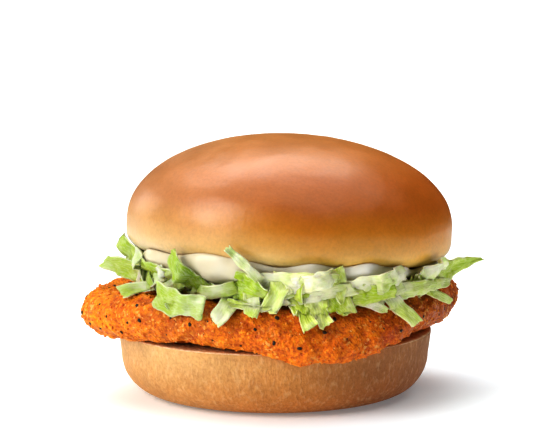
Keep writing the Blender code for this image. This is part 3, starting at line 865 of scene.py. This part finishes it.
def fillerTree():  # short narrow shreds round the core's rim, each bent and crumpled its own way
    tree, given = openTree("fillerShreds", fillerLook)
    position = node(tree, "GeometryNodeInputPosition").outputs[0]
    normal = node(tree, "GeometryNodeInputNormal").outputs[0]
    rimSide = maths(tree, "LESS_THAN", maths(tree, "ABSOLUTE", coordinate(tree, normal, "Z")), 0.75)
    spots = node(tree, "GeometryNodeDistributePointsOnFaces", {
        "Mesh": given["Geometry"], "Selection": rimSide, "Distance Min": given["Spacing"],
        "Density Max": given["Count Density"], "Seed": given["Seed"]}, distribute_method="POISSON")
    strip = node(tree, "GeometryNodeMeshGrid", {
        "Size X": given["Length"], "Size Y": given["Width"], "Vertices X": 11, "Vertices Y": 4})
    lengthwise = maths(tree, "DIVIDE", coordinate(tree, position, "X"), given["Length"])
    over = maths(tree, "DIVIDE", coordinate(tree, position, "Y"), given["Width"])
    wave = maths(tree, "COSINE", maths(tree, "MULTIPLY", lengthwise, 5.5))
    lift = maths(tree, "MULTIPLY", wave, given["Bend"])
    bent = node(tree, "GeometryNodeSetPosition", {
        "Geometry": strip.outputs["Mesh"],
        "Offset": node(tree, "ShaderNodeCombineXYZ", {2: lift}).outputs[0]}).outputs[0]
    shred = stored(tree, bent, "leafOver", maths(tree, "MULTIPLY", over, 2.0))
    shred = stored(tree, shred, "leafAlong", maths(tree, "MULTIPLY", lengthwise, 3.0))
    size = node(tree, "FunctionNodeRandomValue", {
        0: (0.6, 0.6, 1.0), 1: (1.35, 1.7, 1.0), "Seed": given["Seed"]}, data_type="FLOAT_VECTOR")
    laid = strewn(tree, spots, shred, given["Seed"], size.outputs[0],
                  (-0.5, -0.5, 0.0), (0.5, 0.5, 6.28))
    tone = node(tree, "FunctionNodeRandomValue", {2: 0.1, 3: 0.85, "Seed": given["Seed"]})
    toned = stored(tree, laid, "leafTone", tone.outputs[1], "INSTANCE")
    real = node(tree, "GeometryNodeRealizeInstances", {0: toned})
    ruffle = node(tree, "ShaderNodeTexNoise", {
        "Vector": position, "Scale": given["Crumple Scale"], "Detail": 1.0})
    centred = node(tree, "ShaderNodeVectorMath", {
        0: ruffle.outputs["Color"], 1: (0.5, 0.5, 0.5)}, operation="SUBTRACT")
    shake = node(tree, "ShaderNodeVectorMath", {
        0: centred.outputs[0], "Scale": given["Crumple"]}, operation="SCALE")
    crumpled = node(tree, "GeometryNodeSetPosition", {
        "Geometry": real.outputs[0], "Offset": shake.outputs[0]})
    return closeTree(tree, crumpled.outputs[0], given["Material"])


def lettuceMaterial():
    made, tree, shader = newMaterial("icebergLeaf", {
        "Roughness": 0.38, "Specular IOR Level": 0.5, "Subsurface Weight": 0.3,
        "Subsurface Radius": (0.7, 1.0, 0.25), "Subsurface Scale": 0.0012})
    place = node(tree, "ShaderNodeTexCoord").outputs["Object"]
    tone = node(tree, "ShaderNodeAttribute", attribute_name="leafTone").outputs["Fac"]
    over = node(tree, "ShaderNodeAttribute", attribute_name="leafOver").outputs["Fac"]
    lengthwise = node(tree, "ShaderNodeAttribute", attribute_name="leafAlong").outputs["Fac"]
    blotch = clouds(tree, place, 150.0)
    shade = maths(tree, "MULTIPLY_ADD", blotch, 1.3, maths(tree, "SUBTRACT", tone, 0.65))
    colour = ramp(tree, shade, (0.0, lettuce["rib"]), (0.25, lettuce["pale"]),
                  (0.5, lettuce["green"]), (0.72, lettuce["bright"]), (1.0, lettuce["dark"]))
    sheet = node(tree, "ShaderNodeCombineXYZ", {0: over, 1: lengthwise}).outputs[0]
    stretched = node(tree, "ShaderNodeMapping", {"Vector": sheet, "Scale": (3.2, 1.1, 1.0)})
    veins = clouds(tree, stretched.outputs[0], 1.3, 3.0)
    ribs = ramp(tree, veins, (0.43, 0.0), (0.5, 0.35), (0.57, 0.0))
    # pale cut edges, partly the leaf's own colour and partly a painted highlight along the edges
    cutEdgeAndHighlight = ramp(tree, maths(tree, "ABSOLUTE", over), (0.86, 0.0), (1.0, 0.5))
    colour = mixed(tree, maths(tree, "ADD", ribs, cutEdgeAndHighlight), colour, lettuce["rib"])
    # painted light and shade: the leaves tinted from left to right
    colour = shaded(tree, colour, 1.0, fromLeft(tree, place, -0.025, 0.012), *lettuce["across"])
    tree.links.new(colour, shader.inputs["Base Color"])
    bumps(tree, shader, (veins, 0.45, 0.0008), (clouds(tree, place, 500.0), 0.3, 0.0006))
    return made


icebergLeaf = lettuceMaterial()
leafCore = ballSkin(260, 60, corePoint)
layerNames = ("leafTone", "leafOver", "leafAlong")
coreLayers = [leafCore.verts.layers.float.new(name) for name in layerNames]
for vert in leafCore.verts:
    # painted shade: the core gets a dark tone for the shaded inside of the heap
    vert[coreLayers[0]] = 0.7
    vert[coreLayers[2]] = vert.co.x / 5
coreMesh = meshOf(leafCore, "lettuceCore")

sheets = bmesh.new()
sheetLayers = [sheets.verts.layers.float.new(name) for name in layerNames]
leafRandom = random.Random(5)
for number, shred in enumerate([*frontShreds, *backShreds()]):
    addShred(sheets, sheetLayers, shred, number % lettuce["layers"], leafRandom)
sheetMesh = meshOf(sheets, "leafSheets")

fillerSettings = {**fillerLook, "Material": icebergLeaf}
fillerMesh = grown("fillerShreds", coreMesh, fillerTree(), fillerSettings)
for vert in fillerMesh.vertices:
    vert.co = clearOfBoth(vert.co / mm) * mm
print("filler shreds:", len(fillerMesh.polygons), "faces")

thin = bmesh.new()
thin.from_mesh(sheetMesh)
thin.from_mesh(fillerMesh)
thinMesh = bpy.data.meshes.new("thinLeaves")
thin.to_mesh(thinMesh)
thin.free()
leaves = objectFrom("thinLeaves", thinMesh)
wall = leaves.modifiers.new("leafWall", "SOLIDIFY")
wall.thickness = lettuce["thickness"] * mm
wall.offset = 0
heap = bmesh.new()
heap.from_mesh(applied(leaves, "leafWalls"))
heap.from_mesh(coreMesh)
heapMesh = bpy.data.meshes.new("shreddedLettuce")
heap.to_mesh(heapMesh)
heap.free()
shreddedLettuce = objectFrom("shreddedLettuce", heapMesh)
dress(shreddedLettuce, "shredded_lettuce", icebergLeaf)


# Crumbs and pepper on the breading

def scatterTree():  # small uneven grains on a surface, no two of them closer than Spacing
    tree, given = openTree("grainScatter", {
        "Spacing": 0.003, "Density": 90000.0, "Grain Radius": 0.0004, "Smallest": 0.5,
        "Largest": 1.3, "Flatness": 0.7, "Lowest Place": 0.0, "Seed": 0})
    position = node(tree, "GeometryNodeInputPosition").outputs[0]
    above = maths(tree, "GREATER_THAN", coordinate(tree, position, "Z"), given["Lowest Place"])
    spots = node(tree, "GeometryNodeDistributePointsOnFaces", {
        "Mesh": given["Geometry"], "Selection": above, "Distance Min": given["Spacing"],
        "Density Max": given["Density"], "Seed": given["Seed"]}, distribute_method="POISSON")
    grain = node(tree, "GeometryNodeMeshIcoSphere", {
        "Radius": given["Grain Radius"], "Subdivisions": 1})
    squash = node(tree, "ShaderNodeCombineXYZ", {0: 1.0, 1: 0.75, 2: given["Flatness"]})
    squashed = node(tree, "GeometryNodeTransform", {
        "Geometry": grain.outputs[0], "Scale": squash.outputs[0]})
    size = node(tree, "FunctionNodeRandomValue", {
        2: given["Smallest"], 3: given["Largest"], "Seed": given["Seed"]})
    placed = strewn(tree, spots, squashed.outputs[0], given["Seed"], size.outputs[1],
                    (0.0, 0.0, 0.0), (0.6, 0.6, 6.28))
    return closeTree(tree, placed, given["Material"])


def grainMaterial(name, dark, light, roughness):
    made, tree, shader = newMaterial(name, {"Roughness": roughness})
    place = node(tree, "ShaderNodeTexCoord").outputs["Object"]
    tint = clouds(tree, place, 500.0, 2.0)
    tree.links.new(ramp(tree, tint, (0.35, dark), (0.65, light)), shader.inputs["Base Color"])
    bumps(tree, shader, (tint, 0.3, 0.0003))
    return made


grains = {
    "breadingCrumbs": {
        "dark": (0.62, 0.13, 0.008), "light": (0.88, 0.34, 0.03), "roughness": 0.45,
        "Spacing": 0.0019, "Density": 300000.0, "Grain Radius": 0.0005, "Smallest": 0.5,
        "Largest": 1.5, "Flatness": 0.7, "Seed": 3},
    "paleCrumbs": {
        "dark": (0.80, 0.38, 0.08), "light": (0.90, 0.62, 0.28), "roughness": 0.4,
        "Spacing": 0.004, "Density": 30000.0, "Grain Radius": 0.00026, "Smallest": 0.6,
        "Largest": 1.5, "Flatness": 0.6, "Seed": 11, "Lowest Place": 0.021},
    "pepperSpecks": {
        "dark": (0.012, 0.008, 0.006), "light": (0.05, 0.03, 0.02), "roughness": 0.5,
        "Spacing": 0.0045, "Density": 48000.0, "Grain Radius": 0.00065, "Smallest": 0.45,
        "Largest": 1.3, "Flatness": 0.4, "Seed": 4, "Lowest Place": 0.021},
}
grainScatter = scatterTree()
for grainName, look in grains.items():
    finish = grainMaterial(grainName + "Finish", look["dark"], look["light"], look["roughness"])
    grainMesh = grown(grainName, chickenPatty.data, grainScatter, {**look, "Material": finish})
    dress(objectFrom(grainName, grainMesh), None, finish)


# Floor, light and camera

studio = {
    "floorHalf": 0.5, "floorShade": (0.92, 0.945, 0.96),
    "paintedFloorLight": (0.12, 0.145, 0.16),  # painted light: the floor glows, so that the shadow on it stays pale
    "skyLight": 0.04, "exposure": 0.485, "gamma": 0.7,
    "lens": 127.1, "cameraPlace": (0.0016, -0.5942, 0.1235), "cameraAim": (0.0, 0.0, 0.0525),
    "lampAim": (0.0, 0.0, 0.04),
    "softboxes": (  # name, place, size, power
        ("topLight", (-0.15, 0.40, 0.88), (1.1, 0.4), 4.3),
        ("keyLight", (-0.80, -0.56, 0.52), (0.6, 0.9), 8.2),
        ("rimLight", (-0.77, 0.56, 0.23), (0.35, 0.35), 0.9),
        ("overhead", (0.15, -0.05, 1.10), (1.4, 1.4), 6.8),
    ),
}


def aim(thing, target):
    ahead = Vector(target) - thing.location
    thing.rotation_euler = ahead.to_track_quat("-Z", "Y").to_euler()


floorShape = bmesh.new()
bmesh.ops.create_grid(floorShape, x_segments=1, y_segments=1, size=studio["floorHalf"] / mm)
floor = objectFrom("floor", meshOf(floorShape, "floor"))
floor.location.z = -0.0002
# painted light: the floor's paper glows with its own light
palePaperPaintedGlow, _, _ = newMaterial("palePaperPaintedGlow", {
    "Roughness": 0.9, "Specular IOR Level": 0.1, "Base Color": (*studio["floorShade"], 1),
    "Emission Color": (*studio["paintedFloorLight"], 1), "Emission Strength": 1.0})
floor.data.materials.append(palePaperPaintedGlow)

world = bpy.data.worlds.new("studioWhite")
bpy.context.scene.world = world
world.use_nodes = True
sky = world.node_tree
skyShade = sky.nodes["Background"]
skyShade.inputs["Color"].default_value = (1, 1, 1, 1)
lightPath = sky.nodes.new("ShaderNodeLightPath")
skyLevel = spread(sky, lightPath.outputs["Is Camera Ray"], 0.0, 1.0, studio["skyLight"], 1.0)
sky.links.new(skyLevel, skyShade.inputs["Strength"])

for lampName, lampPlace, lampSize, power in studio["softboxes"]:
    lamp = bpy.data.lights.new(lampName, "AREA")
    lamp.shape = "RECTANGLE"
    lamp.size, lamp.size_y = lampSize
    lamp.energy = power
    softbox = bpy.data.objects.new(lampName, lamp)
    softbox.location = lampPlace
    aim(softbox, studio["lampAim"])
    bpy.context.scene.collection.objects.link(softbox)

shot = bpy.data.cameras.new("camera")
shot.lens = studio["lens"]
shot.sensor_width = 36
shot.clip_end = 20
camera = bpy.data.objects.new("camera", shot)
camera.location = studio["cameraPlace"]
aim(camera, studio["cameraAim"])
bpy.context.scene.collection.objects.link(camera)
bpy.context.scene.camera = camera
view = bpy.context.scene.view_settings
view.view_transform = "Standard"
view.exposure = studio["exposure"]
view.gamma = studio["gamma"]
print("studio ready")
